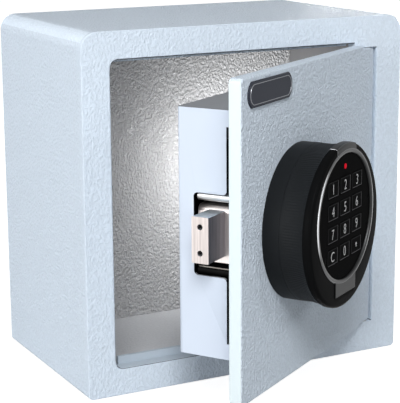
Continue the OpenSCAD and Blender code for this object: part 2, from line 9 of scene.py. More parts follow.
import bpy
import numpy as np
from mathutils import Matrix, Vector


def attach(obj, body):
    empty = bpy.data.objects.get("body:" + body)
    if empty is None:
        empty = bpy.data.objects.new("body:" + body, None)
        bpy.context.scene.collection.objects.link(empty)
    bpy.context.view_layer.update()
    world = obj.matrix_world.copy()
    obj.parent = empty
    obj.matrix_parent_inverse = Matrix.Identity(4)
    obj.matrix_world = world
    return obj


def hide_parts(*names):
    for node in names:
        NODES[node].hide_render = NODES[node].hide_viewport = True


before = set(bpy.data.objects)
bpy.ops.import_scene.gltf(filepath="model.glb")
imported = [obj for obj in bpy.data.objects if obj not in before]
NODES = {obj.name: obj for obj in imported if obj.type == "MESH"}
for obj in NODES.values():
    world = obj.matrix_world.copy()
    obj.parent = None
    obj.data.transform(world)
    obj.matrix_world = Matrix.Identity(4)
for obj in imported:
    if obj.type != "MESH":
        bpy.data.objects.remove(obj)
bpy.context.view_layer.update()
MM = 0.001
TURN = 2 * math.pi

# Cabinet
BODY_W, BODY_H, BODY_D = 200.0, 200.0, 121.0
TOP_CORNER, LOW_CORNER = 9.4, 2.5
FRAME_SIDE, FRAME_END, FRAME_T = 16.4, 15.4, 3.0
OPENING_R, LIP_T, LIP_D = 4.5, 2.5, 7.6
FRONT_Y = -BODY_D / 2
OPEN_X = BODY_W / 2 - FRAME_SIDE
OPEN_LOW, OPEN_HIGH = FRAME_END, BODY_H - FRAME_END

# Door, closed
DOOR_T, DOOR_GAP, DOOR_R = 7.0, 1.2, 3.0
DOOR_X = OPEN_X - DOOR_GAP
DOOR_LOW, DOOR_HIGH = OPEN_LOW + DOOR_GAP, OPEN_HIGH - DOOR_GAP
DOOR_OPEN = math.radians(33.2)
PIN_INSET = 4.0
HINGE_X, HINGE_Y = DOOR_X - PIN_INSET, DOOR_T / 2
LUG_H, LUG_GAP, LUG_REACH = 2.5, 0.4, 9.8
NOTCH_CLEARANCE = 0.5
NOTCH_REACH = math.hypot(LUG_REACH, DOOR_T / 2) + NOTCH_CLEARANCE

# Knob, on its own axis
KNOB_INSET = 64.1
LOCK_X, LOCK_Z = -DOOR_X + KNOB_INSET, 100.7
BASE_R, BASE_H = 41.8, 9.0
KNOB_R, KNOB_H, KNOB_GAP = 43.38, 27.5, 0.4
PAD_RISE, PAD_R, RING_W, RING_PROUD = 5.1, 33.1, 2.5, 0.58
PAD_SET_BACK, PAD_SINK = 0.5, 1.0
PAD_FACE = KNOB_H - PAD_SET_BACK
KEY_W, KEY_H, KEY_R, KEY_STEP_X, KEY_STEP_Z = 12.7, 8.6, 0.6, 15.1, 11.8
KEY_ROWS = (1.43, 0.43, -0.57, -1.57)
RING_R, RING_FACE, RING_OVERLAP = PAD_R + RING_W, KNOB_H + RING_PROUD, 0.6
BRACKET_W, TAB_W, TAB_DROP = 23.4, 25.4, 5.7
LAMP_ABOVE_KEYS = 5.2
LAMP_Z = KEY_ROWS[0] * KEY_STEP_Z + KEY_H / 2 + LAMP_ABOVE_KEYS

# Nose of the lower guide, on the closed door
GUIDE_X, GUIDE_Z, GUIDE_NOSE = -62.59, 80.5, 2.5

# Nameplate, on the closed door
PLATE_INSET, PLATE_DROP = 30.5, 9.1
PLATE_X, PLATE_Z = -DOOR_X + PLATE_INSET, DOOR_HIGH - PLATE_DROP
PLATE_W, PLATE_H, PLATE_BULGE, PLATE_T = 48.4, 13.1, 3.8, 1.2

# Least cosine between a face's normal and a direction for the face to count as facing it
FACING = 0.7

# Sockets of the Mix node's colours, which share their labels with its other kinds
MIX_A, MIX_B, MIX_RESULT = 6, 7, 2


# Shapes

def rounded_outline(x0, x1, z0, z1, radii, steps=10):
    """Outline of a rectangle with its own radius at each corner, counter-clockwise seen from the front.

    A corner's points are its centre plus the radius times (cos a, sin a), a running over a quarter turn.
    The radii are for the lower right, upper right, upper left and lower left corners.
    """
    quarter = np.linspace(0, math.pi / 2, steps + 1)
    rows = []
    corners = ((x1, z0, -1, 1), (x1, z1, -1, -1), (x0, z1, 1, -1), (x0, z0, 1, 1))
    for k, ((x, z, sx, sz), r) in enumerate(zip(corners, radii)):
        a = quarter + (k - 1) * math.pi / 2
        rows.append(np.stack([x + sx * r + r * np.cos(a), z + sz * r + r * np.sin(a)], 1))
    return np.concatenate(rows)


def inset(outline, distance):
    """Every corner of an outline moved inwards along its mitre: p - d (n1 + n2) / (1 + n1 . n2)."""
    before = outline - np.roll(outline, 1, axis=0)
    after = np.roll(outline, -1, axis=0) - outline
    n1 = np.stack([before[:, 1], -before[:, 0]], 1) / np.linalg.norm(before, axis=1)[:, None]
    n2 = np.stack([after[:, 1], -after[:, 0]], 1) / np.linalg.norm(after, axis=1)[:, None]
    return outline - distance * (n1 + n2) / (1 + (n1 * n2).sum(1))[:, None]


def at_depth(outline, y):
    """A flat outline in X and Z as a row of points at one depth."""
    return np.stack([outline[:, 0], np.full(len(outline), float(y)), outline[:, 1]], 1)


def circle_row(radius, y, count, centre):
    """A circle about an axis along Y: centre plus radius times (cos a, sin a)."""
    a = np.arange(count) / count * TURN
    return at_depth(np.stack([centre[0] + radius * np.cos(a), centre[1] + radius * np.sin(a)], 1), y)


def edge_round(radius, steps=4):
    """Pairs (inset, depth) of a quarter round from a side to a flat face: r (1 - cos a, 1 - sin a)."""
    a = np.linspace(0, math.pi / 2, steps + 1)
    return [(radius * (1 - math.cos(t)), radius * (1 - math.sin(t))) for t in a]


def skin(rows, joined=False):
    """Vertices and faces of a surface through rows of points, each row closed on itself.

    Rows run from the back to the front and both ends are capped, or they run round the section of a ring
    and the last one is joined to the first.
    """
    rows = np.asarray(rows, float)
    count, size = rows.shape[:2]
    index = np.arange(count * size).reshape(count, size)
    lower, upper = index[:-1], index[1:]
    if joined:
        lower, upper = index, np.roll(index, -1, axis=0)
    step = np.roll(np.arange(size), -1)
    quads = np.stack([lower, lower[:, step], upper[:, step], upper], 2).reshape(-1, 4)
    faces = quads.tolist()
    if not joined:
        faces += [index[0][::-1].tolist(), index[-1].tolist()]
    return rows.reshape(-1, 3), faces


def slab(outline, back, front, round_back=0.0, round_front=0.0):
    """A solid plate between two depths with round edges, as rows of its inset outline.

    One more row holds a round edge from inside, so that smooth shading doesn't spread over the face.
    """
    hold = 0.25
    rows = []
    if round_back:
        rows.append(at_depth(inset(outline, round_back + hold), back))
        rows += [at_depth(inset(outline, i), back - d) for i, d in edge_round(round_back)[::-1]]
    else:
        rows.append(at_depth(outline, back))
    if round_front:
        rows += [at_depth(inset(outline, i), front + d) for i, d in edge_round(round_front)]
        rows.append(at_depth(inset(outline, round_front + hold), front))
    else:
        rows.append(at_depth(outline, front))
    return skin(rows)


def turned(section, count, centre=(0.0, 0.0)):
    """A body of revolution: each (radius, depth) of the section becomes a circle."""
    return skin([circle_row(r, y, count, centre) for r, y in section])


def on_door(points):
    """Swings points of the closed door about the hinge pins by the angle at which it stands open."""
    x, y = points[:, 0] - HINGE_X, points[:, 1] - HINGE_Y
    c, s = math.cos(DOOR_OPEN), math.sin(DOOR_OPEN)
    return np.stack([HINGE_X + c * x - s * y, FRONT_Y + HINGE_Y + s * x + c * y, points[:, 2]], 1)


def on_knob(points):
    """Moves points round the knob's axis to the closed door, then swings them with it."""
    return on_door(points + np.array([LOCK_X, 0.0, LOCK_Z]))


def on_cabinet(points):
    """Moves points whose depth is counted from the front face into the part's frame."""
    return points + np.array([0.0, FRONT_Y, 0.0])


def piece(name, shape, place, body, material, stands_for=()):
    """Makes a mesh object of a shape in its place, smooth up to the sharp angle, riding on a body."""
    sharp = math.radians(35)
    vertices, faces = shape
    mesh = bpy.data.meshes.new(name)
    mesh.from_pydata((place(vertices) * MM).tolist(), [], faces)
    mesh.polygons.foreach_set("use_smooth", [True] * len(mesh.polygons))
    mesh.set_sharp_from_angle(angle=sharp)
    mesh.materials.append(material)
    obj = bpy.data.objects.new(name, mesh)
    bpy.context.scene.collection.objects.link(obj)
    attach(obj, body)
    if stands_for:
        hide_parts(*stands_for)
    return obj


def face_directions(mesh):
    """The centre, in millimetres, and the normal of each face of a mesh."""
    centre, normal = np.zeros(len(mesh.polygons) * 3), np.zeros(len(mesh.polygons) * 3)
    mesh.polygons.foreach_get("center", centre)
    mesh.polygons.foreach_get("normal", normal)
    return centre.reshape(-1, 3) / MM, normal.reshape(-1, 3)


# Finishes

def group(name, inputs, outputs):
    """A new shader node group with its named sockets, and its input and output nodes."""
    tree = bpy.data.node_groups.new(name, "ShaderNodeTree")
    for label, kind, value in inputs:
        socket = tree.interface.new_socket(label, in_out="INPUT", socket_type=kind)
        socket.default_value = value
    for label, kind in outputs:
        tree.interface.new_socket(label, in_out="OUTPUT", socket_type=kind)
    return tree, tree.nodes.new("NodeGroupInput"), tree.nodes.new("NodeGroupOutput")


def hammered_group():
    """Orange-peel enamel: noise of two sizes makes its lumps and varies its colour and roughness a little."""
    tree, given, out = group(
        "hammered enamel",
        [("Vector", "NodeSocketVector", (0, 0, 0)), ("Lumps per metre", "NodeSocketFloat", 480.0),
         ("Colour", "NodeSocketColor", (0.8, 0.8, 0.8, 1)), ("Mottling", "NodeSocketFloat", 0.06)],
        [("Colour", "NodeSocketColor"), ("Height", "NodeSocketFloat"), ("Roughness", "NodeSocketFloat")])
    link, new = tree.links.new, tree.nodes.new
    lumps = new("ShaderNodeTexNoise")
    lumps.inputs["Detail"].default_value = 1.0
    lumps.inputs["Roughness"].default_value = 0.5
    lumps.inputs["Distortion"].default_value = 0.3
    link(given.outputs["Vector"], lumps.inputs["Vector"])
    link(given.outputs["Lumps per metre"], lumps.inputs["Scale"])
    shape = new("ShaderNodeMapRange")
    shape.interpolation_type = "SMOOTHSTEP"
    shape.inputs["From Min"].default_value = 0.30
    shape.inputs["From Max"].default_value = 0.70
    link(lumps.outputs["Fac"], shape.inputs["Value"])
    link(shape.outputs["Result"], out.inputs["Height"])
    low = new("ShaderNodeMath")
    low.operation = "SUBTRACT"
    low.inputs[0].default_value = 1.0
    link(given.outputs["Mottling"], low.inputs[1])
    tint = new("ShaderNodeMapRange")
    link(shape.outputs["Result"], tint.inputs["Value"])
    link(low.outputs["Value"], tint.inputs["To Min"])
    mixed = new("ShaderNodeMix")
    mixed.data_type = "RGBA"
    mixed.blend_type = "MULTIPLY"
    mixed.inputs["Factor"].default_value = 1.0
    link(given.outputs["Colour"], mixed.inputs[MIX_A])
    link(tint.outputs["Result"], mixed.inputs[MIX_B])
    link(mixed.outputs[MIX_RESULT], out.inputs["Colour"])
    rough = new("ShaderNodeMapRange")
    rough.inputs["To Min"].default_value = 0.42
    rough.inputs["To Max"].default_value = 0.28
    link(shape.outputs["Result"], rough.inputs["Value"])
    link(rough.outputs["Result"], out.inputs["Roughness"])
    return tree


def brushed_group():
    """Fine scratches along one direction: noise squeezed across it darkens the colour and gives a height."""
    tree, given, out = group(
        "brushed metal",
        [("Vector", "NodeSocketVector", (0, 0, 0)), ("Colour", "NodeSocketColor", (0.6, 0.6, 0.6, 1)),
         ("Contrast", "NodeSocketFloat", 0.25)],
        [("Colour", "NodeSocketColor"), ("Height", "NodeSocketFloat")])
    link, new = tree.links.new, tree.nodes.new
    lines = new("ShaderNodeTexNoise")
    lines.inputs["Scale"].default_value = 1.0
    lines.inputs["Detail"].default_value = 4.0
    link(given.outputs["Vector"], lines.inputs["Vector"])
    low = new("ShaderNodeMath")
    low.operation = "SUBTRACT"
    low.inputs[0].default_value = 1.0
    link(given.outputs["Contrast"], low.inputs[1])
    shade = new("ShaderNodeMapRange")
    shade.inputs["From Min"].default_value = 0.3
    shade.inputs["From Max"].default_value = 0.7
    link(lines.outputs["Fac"], shade.inputs["Value"])
    link(low.outputs["Value"], shade.inputs["To Min"])
    mixed = new("ShaderNodeMix")
    mixed.data_type = "RGBA"
    mixed.blend_type = "MULTIPLY"
    mixed.inputs["Factor"].default_value = 1.0
    link(given.outputs["Colour"], mixed.inputs[MIX_A])
    link(shade.outputs["Result"], mixed.inputs[MIX_B])
    link(mixed.outputs[MIX_RESULT], out.inputs["Colour"])
    link(lines.outputs["Fac"], out.inputs["Height"])
    return tree


def finish(name, colour, roughness, metallic=0.0, **settings):
    """A plain finish: one colour on the shader's own sockets."""
    material = bpy.data.materials.new(name)
    material.use_nodes = True
    shader = material.node_tree.nodes["Principled BSDF"]
    shader.inputs["Base Color"].default_value = (*colour, 1)
    shader.inputs["Roughness"].default_value = roughness
    shader.inputs["Metallic"].default_value = metallic
    for label, value in settings.items():
        shader.inputs[label.replace("_", " ")].default_value = value
    return material


def object_coordinates(tree, scale, turn=(0, 0, 0), start=(0, 0, 0)):
    """Object coordinates through a Mapping node: moved, turned and stretched to suit a pattern."""
    place = tree.nodes.new("ShaderNodeTexCoord")
    mapping = tree.nodes.new("ShaderNodeMapping")
    mapping.vector_type = "TEXTURE"
    mapping.inputs["Location"].default_value = start
    mapping.inputs["Rotation"].default_value = turn
    mapping.inputs["Scale"].default_value = scale
    tree.links.new(place.outputs["Object"], mapping.inputs["Vector"])
    return mapping.outputs["Vector"]


def hammered(name, colour, lumps, depth, mottling, gloss):
    """Hammered enamel of a colour, with its lumps per metre and their depth in metres.

    The gloss is its index of refraction. The lumps are drawn out upwards, as paint sags before it dries.
    """
    material = finish(name, colour, 0.35, IOR=gloss)
    tree = material.node_tree
    shader = tree.nodes["Principled BSDF"]
    enamel = tree.nodes.new("ShaderNodeGroup")
    enamel.node_tree = HAMMERED
    enamel.inputs["Colour"].default_value = (*colour, 1)
    enamel.inputs["Lumps per metre"].default_value = lumps
    enamel.inputs["Mottling"].default_value = mottling
    tree.links.new(object_coordinates(tree, (1, 1, LUMP_STRETCH)), enamel.inputs["Vector"])
    bump = tree.nodes.new("ShaderNodeBump")
    bump.inputs["Distance"].default_value = depth
    tree.links.new(enamel.outputs["Height"], bump.inputs["Height"])
    tree.links.new(bump.outputs["Normal"], shader.inputs["Normal"])
    tree.links.new(enamel.outputs["Colour"], shader.inputs["Base Color"])
    tree.links.new(enamel.outputs["Roughness"], shader.inputs["Roughness"])
    return material


def brushed(name, colour, roughness, stretch, contrast):
    """Brushed metal on the open door. Its scratches run along the longest of three stretches, in metres."""
    scratch_depth = 0.00002
    material = finish(name, colour, roughness, 1.0)
    tree = material.node_tree
    shader = tree.nodes["Principled BSDF"]
    lines = tree.nodes.new("ShaderNodeGroup")
    lines.node_tree = BRUSHED
    lines.inputs["Colour"].default_value = (*colour, 1)
    lines.inputs["Contrast"].default_value = contrast
    tree.links.new(object_coordinates(tree, stretch, (0, 0, DOOR_OPEN)), lines.inputs["Vector"])
    bump = tree.nodes.new("ShaderNodeBump")
    bump.inputs["Distance"].default_value = scratch_depth
    tree.links.new(lines.outputs["Height"], bump.inputs["Height"])
    tree.links.new(bump.outputs["Normal"], shader.inputs["Normal"])
    tree.links.new(lines.outputs["Colour"], shader.inputs["Base Color"])
    return material


def shining_edge(name, dull, bright):
    """A turned edge with a painted highlight: brighter colour in two opposite arcs round the keypad's middle,
    where |cos(a - a0)| is high.

    The cosine comes from the coordinates along the door and upwards, divided by the ring's outer radius.
    """
    middle_of_arc = math.radians(167)
    arc_start, arc_full = 0.74, 0.96
    material = finish(name, dull, 0.25, 1.0)
    tree = material.node_tree
    centre = on_knob(np.array([[0.0, -KNOB_H, PAD_RISE]]))[0] * MM
    size = RING_R * MM
    local = object_coordinates(tree, (size, size, size), (0, 0, DOOR_OPEN), centre)
    along = tree.nodes.new("ShaderNodeVectorMath")
    along.operation = "DOT_PRODUCT"
    along.inputs[1].default_value = (math.cos(middle_of_arc), 0, math.sin(middle_of_arc))
    tree.links.new(local, along.inputs[0])
    either = tree.nodes.new("ShaderNodeMath")
    either.operation = "ABSOLUTE"
    tree.links.new(along.outputs["Value"], either.inputs[0])
    highlight_amount = tree.nodes.new("ShaderNodeMapRange")
    highlight_amount.interpolation_type = "SMOOTHSTEP"
    highlight_amount.inputs["From Min"].default_value = arc_start
    highlight_amount.inputs["From Max"].default_value = arc_full
    tree.links.new(either.outputs["Value"], highlight_amount.inputs["Value"])
    mixed = tree.nodes.new("ShaderNodeMix")
    mixed.data_type = "RGBA"
    mixed.inputs[MIX_A].default_value = (*dull, 1)
    mixed.inputs[MIX_B].default_value = (*bright, 1)
    tree.links.new(highlight_amount.outputs["Result"], mixed.inputs["Factor"])
    tree.links.new(mixed.outputs[MIX_RESULT], tree.nodes["Principled BSDF"].inputs["Base Color"])
    return material


HAMMERED = hammered_group()
BRUSHED = brushed_group()

# How much longer than wide a lump of the enamel is, and the length and width of a scratch, in metres
LUMP_STRETCH = 1.5
UPRIGHT, LENGTHWISE = (0.0005, 0.0005, 0.03), (0.03, 0.0005, 0.0005)

# Mirror rays see white all round, so glossy finishes have a low index of refraction and dark metals stay dull
ENAMEL = hammered("grey-white enamel", (0.61, 0.69, 0.78), 900.0, 0.00038, 0.07, 1.02)
# Painted highlight: the shell's folds are painted brighter than the rest of the enamel
FOLD_HIGHLIGHT_ENAMEL = hammered("enamel with a painted highlight on the folds", (0.70, 0.79, 0.89), 900.0, 0.00038, 0.07, 1.02)
FRAME_ENAMEL = hammered("grey-white frame enamel", (0.60, 0.68, 0.77), 900.0, 0.00019, 0.07, 1.02)
# The inside paints are a darker, greyer copy of the outside enamel: partly painted shade of the cavity, with
# the floor a little lighter than the walls
INNER_ENAMEL_SHADED = hammered("inside enamel", (0.43, 0.43, 0.435), 800.0, 0.0007, 0.06, 1.6)
WALL_ENAMEL_SHADED = hammered("inside wall enamel", (0.45, 0.45, 0.45), 800.0, 0.0007, 0.06, 1.6)
# Painted shade: the inside wall beside the hinge is painted dark
HINGE_WALL_SHADE = finish("inside wall beside the hinge, painted shade", (0.21, 0.21, 0.215), 0.5, IOR=1.1)
FLOOR_ENAMEL = hammered("inside floor enamel", (0.52, 0.53, 0.55), 700.0, 0.0002, 0.04, 1.1)
BOX_PAINT = finish("smooth box paint", (0.52, 0.58, 0.67), 0.38, IOR=1.1)
# Painted shade on the bolt box's top and on its front towards the door plate
BOX_SHADE = finish("box paint in shade", (0.235, 0.245, 0.26), 0.5, IOR=1.1)
BOX_FRONT_SHADE = finish("unlit box front", (0.006, 0.0065, 0.007), 0.5, IOR=1.02)
EDGE_PAINT = finish("smooth door edge", (0.60, 0.68, 0.71), 0.38, IOR=1.1)
# Painted shade: the lower lip's paint is darker than the frame's
LIP_SHADE_PAINT = finish("smooth lip paint with painted shade", (0.42, 0.48, 0.54), 0.4, IOR=1.1)
SHADE_PAINT = finish("shaded edge paint", (0.10, 0.115, 0.13), 0.5, IOR=1.1)
ZINC = finish("bright zinc", (0.46, 0.47, 0.47), 0.36, 1.0)
BOLT_STEEL = brushed("brushed bolt steel", (0.50, 0.455, 0.44), 0.38, UPRIGHT, 0.3)
# Painted shade on the bolt's side and a painted highlight on its top
BOLT_SIDE_SHADE = brushed("bolt steel in the window's shade", (0.34, 0.325, 0.35), 0.38, UPRIGHT, 0.35)
BOLT_TOP_HIGHLIGHT = brushed("bolt steel with painted light on top", (0.84, 0.92, 1.0), 0.38, LENGTHWISE, 0.2)
CARRIER_STEEL = brushed("carrier steel", (0.70, 0.65, 0.63), 0.38, UPRIGHT, 0.2)
# Blackened screws; the same black makes the painted shadow below the ring's tab
SCREW_BLACK_AND_SHADOW = finish("blackened screws and painted tab shadow", (0.003, 0.003, 0.003), 0.5, IOR=1.05)
# Painted shade: the lower guide is painted near black for the shade it lies in
GUIDE_SHADE = finish("lower guide in painted shade", (0.004, 0.004, 0.004), 0.4, IOR=1.1)
# Painted highlight for the line on the lower guide's nose
HIGHLIGHT_STEEL = finish("painted highlight steel", (0.80, 0.77, 0.72), 0.4, 1.0)
PIN_STEEL = finish("pin steel", (0.50, 0.50, 0.51), 0.3, 1.0)
KNOB_PLASTIC = finish("knob plastic", (0.0095, 0.0107, 0.0120), 0.45, IOR=1.15)
RIM_PLASTIC = finish("knob rim plastic", (0.0042, 0.0044, 0.0047), 0.25, IOR=1.04)
PAD_PLASTIC = finish("keypad plastic", (0.0035, 0.0036, 0.0038), 0.25, IOR=1.02)
KEY_PLASTIC = finish("key plastic", (0.004, 0.0041, 0.0043), 0.3, IOR=1.02)
PRINT = finish("key printing", (0.55, 0.56, 0.57), 0.5, IOR=1.1)
LINE_PRINT = finish("key outline", (0.022, 0.023, 0.024), 0.45, IOR=1.05)
LINE_LIT = finish("lit half of a key outline", (0.10, 0.10, 0.105), 0.4, IOR=1.05)
CHROME = finish("ring chrome", (0.034, 0.035, 0.036), 0.3, 1.0)
# Painted highlight in two arcs on the ring's outer edge
HIGHLIGHT_CHROME = shining_edge("ring edge with a painted highlight", (0.08, 0.082, 0.085), (0.66, 0.67, 0.69))
DARK_CHROME = finish("shaded ring wall", (0.032, 0.033, 0.034), 0.4, 1.0)
BRACKET_METAL = finish("bracket metal", (0.022, 0.023, 0.024), 0.4, 1.0)
TAB_METAL = finish("tab metal", (0.015, 0.0157, 0.0164), 0.4, 1.0)
# Painted highlight for the bracket's end face
BRACKET_END_HIGHLIGHT = finish("painted highlight on the bracket end", (0.50, 0.51, 0.53), 0.3, 1.0)
PLATE_BLACK = finish("nameplate enamel", (0.034, 0.038, 0.050), 0.35, IOR=1.12)
PLATE_SILVER = finish("nameplate rim", (0.20, 0.21, 0.23), 0.35, 1.0)
LAMP_RED = finish("lamp red", (0.30, 0.003, 0.01), 0.3, IOR=1.05, Emission_Color=(0.32, 0.003, 0.01, 1),
                  Emission_Strength=1)
MOTOR_PLASTIC = finish("motor plastic", (0.03, 0.03, 0.03), 0.55)
BOARD_GREEN = finish("circuit board", (0.02, 0.10, 0.04), 0.45)
CELL_WRAP = finish("cell wrap", (0.30, 0.22, 0.04), 0.4)


# Cabinet

def opening_outline(grow):
    """The door opening, grown by a margin."""
    half = OPEN_X + grow
    return rounded_outline(-half, half, OPEN_LOW - grow, OPEN_HIGH + grow, [OPENING_R + grow] * 4)


def front_outline(distance):
    """The cabinet's front, inset by a distance."""
    half, low, top = BODY_W / 2 - distance, LOW_CORNER - distance, TOP_CORNER - distance
    return rounded_outline(-half, half, distance, BODY_H - distance, [low, top, top, low])


def front_frame():
    """The frame's section, carried once round the cabinet: outer edge, face, lip and back.

    The opening's upper edge looks down and has painted shade in a darker paint. Its lower edge is smooth,
    with painted shade on the lip and a line of painted shade along the rounding.
    """
    outer, inner, hold = 0.2, 1.0, 0.3
    flat, level = 0.3, 0.75
    rows = [at_depth(front_outline(0), FRAME_T)]
    rows += [at_depth(front_outline(i), d) for i, d in edge_round(outer)]
    rows.append(at_depth(front_outline(outer + hold), 0))
    rows.append(at_depth(opening_outline(inner + hold), 0))
    for i, d in edge_round(inner)[::-1]:
        rows.append(at_depth(opening_outline(i), d))
    rows += [at_depth(opening_outline(0), LIP_D), at_depth(opening_outline(LIP_T), LIP_D),
             at_depth(opening_outline(LIP_T), FRAME_T)]
    made = piece("front_frame_piece", skin(rows, joined=True), on_cabinet, "cabinet", FRAME_ENAMEL,
                 ["front_frame"])
    made.data.materials.append(SHADE_PAINT)
    made.data.materials.append(LIP_SHADE_PAINT)
    centre, normal = face_directions(made.data)
    upper, up = centre[:, 2] > BODY_H / 2, normal[:, 2]
    # Painted shade on the rounding of the opening's upper edge, which looks down, and in a line on the lower
    # rounding
    shaded = upper & (up < -flat) | ~upper & (up > flat) & (up < level)
    # Painted shade on the lower lip's upward faces
    lip = ~upper & (up >= level)
    made.data.polygons.foreach_set("material_index", (shaded + 2 * lip).tolist())


def hinge_lugs():
    """A lug fills a corner of the opening on the hinge side, flush with the frame's face and let into it."""
    edge, low, into_frame = HINGE_X - LUG_REACH, OPEN_HIGH - LUG_H, 1.15
    side, top = OPEN_X + into_frame, OPEN_HIGH + into_frame
    arc = rounded_outline(-side, side, OPEN_LOW, top, [OPENING_R + into_frame] * 4)
    arc = arc[(arc[:, 0] > edge) & (arc[:, 1] > low)]
    upper = np.concatenate([[[edge, low], [side, low]], arc, [[edge, top]]])
    lower = (upper * [1, -1] + [0, OPEN_LOW + OPEN_HIGH])[::-1]
    for name, outline in (("hinge_lug_top", upper), ("hinge_lug_bottom", lower)):
        piece(name + "_piece", slab(outline, DOOR_T, 0, round_front=0.12), on_cabinet, "cabinet",
              FRAME_ENAMEL, [name])


# Door

def door_outline():
    """The door's outline: round lock-side corners, and a notch for the lug at each hinge-side corner."""
    notch_x = HINGE_X - NOTCH_REACH
    notch_z = LUG_H + LUG_GAP - DOOR_GAP
    arcs = rounded_outline(-DOOR_X, DOOR_X, DOOR_LOW, DOOR_HIGH, [DOOR_R] * 4)
    left = arcs[len(arcs) // 2:]
    right = np.array([[notch_x, DOOR_LOW], [notch_x, DOOR_LOW + notch_z], [DOOR_X, DOOR_LOW + notch_z],
                      [DOOR_X, DOOR_HIGH - notch_z], [notch_x, DOOR_HIGH - notch_z], [notch_x, DOOR_HIGH]])
    return np.concatenate([right, left])


def door_plate():
    """The plate, rounder at its front edges than at the back. Its lock-side edge has smooth paint."""
    facing = 0.8
    shape = slab(door_outline(), DOOR_T, 0, round_back=0.5, round_front=1.1)
    plate = piece("door_plate_piece", shape, on_door, "door", ENAMEL, ["door_plate"])
    plate.data.materials.append(EDGE_PAINT)
    left = face_directions(plate.data)[1] @ [-math.cos(DOOR_OPEN), -math.sin(DOOR_OPEN), 0] > facing
    plate.data.polygons.foreach_set("material_index", left.astype(int).tolist())


def plate_outline(shrink=0.0):
    """Flat long edges and ends that bulge as circle arcs of radius (h^2 / 4 + b^2) / 2b."""
    w, h = PLATE_W - 2 * shrink, PLATE_H - 2 * shrink
    radius = (h * h / 4 + PLATE_BULGE ** 2) / (2 * PLATE_BULGE)
    half = math.asin(h / 2 / radius)
    a = np.linspace(-half, half, 13)
    right = np.stack([w / 2 - radius + radius * np.cos(a), radius * np.sin(a)], 1)
    return np.concatenate([right, -right]) + np.array([PLATE_X, PLATE_Z])


def nameplate():
    """A bare plate with a raised line inside its edge."""
    line_rise, line_outer, line_inner, slope, sink = 0.15, 1.30, 1.75, 0.08, 0.05
    face = -PLATE_T + line_rise
    piece("nameplate_piece", slab(plate_outline(), 0, face, round_front=0.45), on_door, "door", PLATE_BLACK,
          ["nameplate"])
    rows = [at_depth(plate_outline(shrink), y) for shrink, y in
            ((line_inner, face + sink), (line_outer, face + sink), (line_outer + slope, -PLATE_T),
             (line_inner - slope, -PLATE_T))]
    piece("nameplate_line", skin(rows, joined=True), on_door, "door", PLATE_SILVER)


# Knob

def knob_base():
    """A fixed cup that reaches to just short of the barrel, so that no light shows between them."""
    seam, foot, hollow = 0.04, BASE_R - 2, 37.0
    front, floor = -BASE_H - KNOB_GAP + seam, -BASE_H + 3
    section = [(foot, 0), (BASE_R, 0), (BASE_R, front), (hollow, front), (hollow, floor)]
    piece("knob_base_piece", turned(section, 128), on_knob, "door", KNOB_PLASTIC,
          ["knob_base"])


def knob_barrel():
    """The grip's radius is its waisted profile less d (1 - cos n a) / 2, which makes n fine flutes.

    Each row of the profile is a radius, a height above the door and whether the row is fluted.
    """
    count, flutes, deep = 1440, 180, 0.12
    rim_round, recess, recess_depth, first_of_rim = 1.8, RING_R - 0.3, 1.2, 8
    back = BASE_H + KNOB_GAP
    a = np.arange(count) / count * TURN
    wave = (1 - np.cos(flutes * a)) / 2
    profile = [(BASE_R - 4, back, 0), (BASE_R - 0.2, back, 0), (BASE_R - 0.1, back + 0.02, 0),
               (BASE_R - 0.1, back + 1.6, 0), (BASE_R - 0.15, back + 2.2, 1), (BASE_R - 0.2, back + 6.5, 1),
               (BASE_R + 0.35, KNOB_H - 7.4, 1), (KNOB_R - 0.65, KNOB_H - 5.2, 1),
               (KNOB_R - 0.45, KNOB_H - 4.7, 0), (KNOB_R - 0.05, KNOB_H - 4.0, 0), (KNOB_R, KNOB_H - 3.2, 0)]
    profile += [(KNOB_R - i, KNOB_H - d, 0) for i, d in edge_round(rim_round, 5)]
    rows = []
    for radius, height, fluted in profile:
        r = radius - deep * fluted * wave
        rows.append(np.stack([r * np.cos(a), np.full(count, -height), r * np.sin(a)], 1))
    for height in (KNOB_H, KNOB_H - recess_depth):
        rows.append(circle_row(recess, -height, count, (0, PAD_RISE)))
    obj = piece("knob_barrel_piece", skin(rows), on_knob, "knob", KNOB_PLASTIC,
                ["knob_barrel"])
    rim = np.arange(len(obj.data.polygons)) // count >= first_of_rim
    obj.data.materials.append(RIM_PLASTIC)
    obj.data.polygons.foreach_set("material_index", rim.astype(int).tolist())


def keypad_ring():
    """A flat ring with soft edges that carry a painted highlight. Each band of its section has one of three
    metals.
    """
    inner, face, back, count = PAD_R + 0.02, RING_FACE, KNOB_H - 1.4, 160
    section = [(inner, back), (RING_R, back), (RING_R, face - 0.35), (RING_R - 0.25, face - 0.08),
               (RING_R - 0.7, face), (inner + 0.8, face), (inner + 0.25, face - 0.3), (inner, face - 0.9)]
    metals = np.array([2, 1, 1, 1, 0, 0, 2, 2])
    rows = [circle_row(r, -h, count, (0, PAD_RISE)) for r, h in section]
    ring = piece("chrome_ring_piece", skin(rows, joined=True), on_knob, "knob", CHROME,
                 ["chrome_ring"])
    ring.data.materials.append(HIGHLIGHT_CHROME)
    ring.data.materials.append(DARK_CHROME)
    ring.data.polygons.foreach_set("material_index", np.repeat(metals, count).tolist())


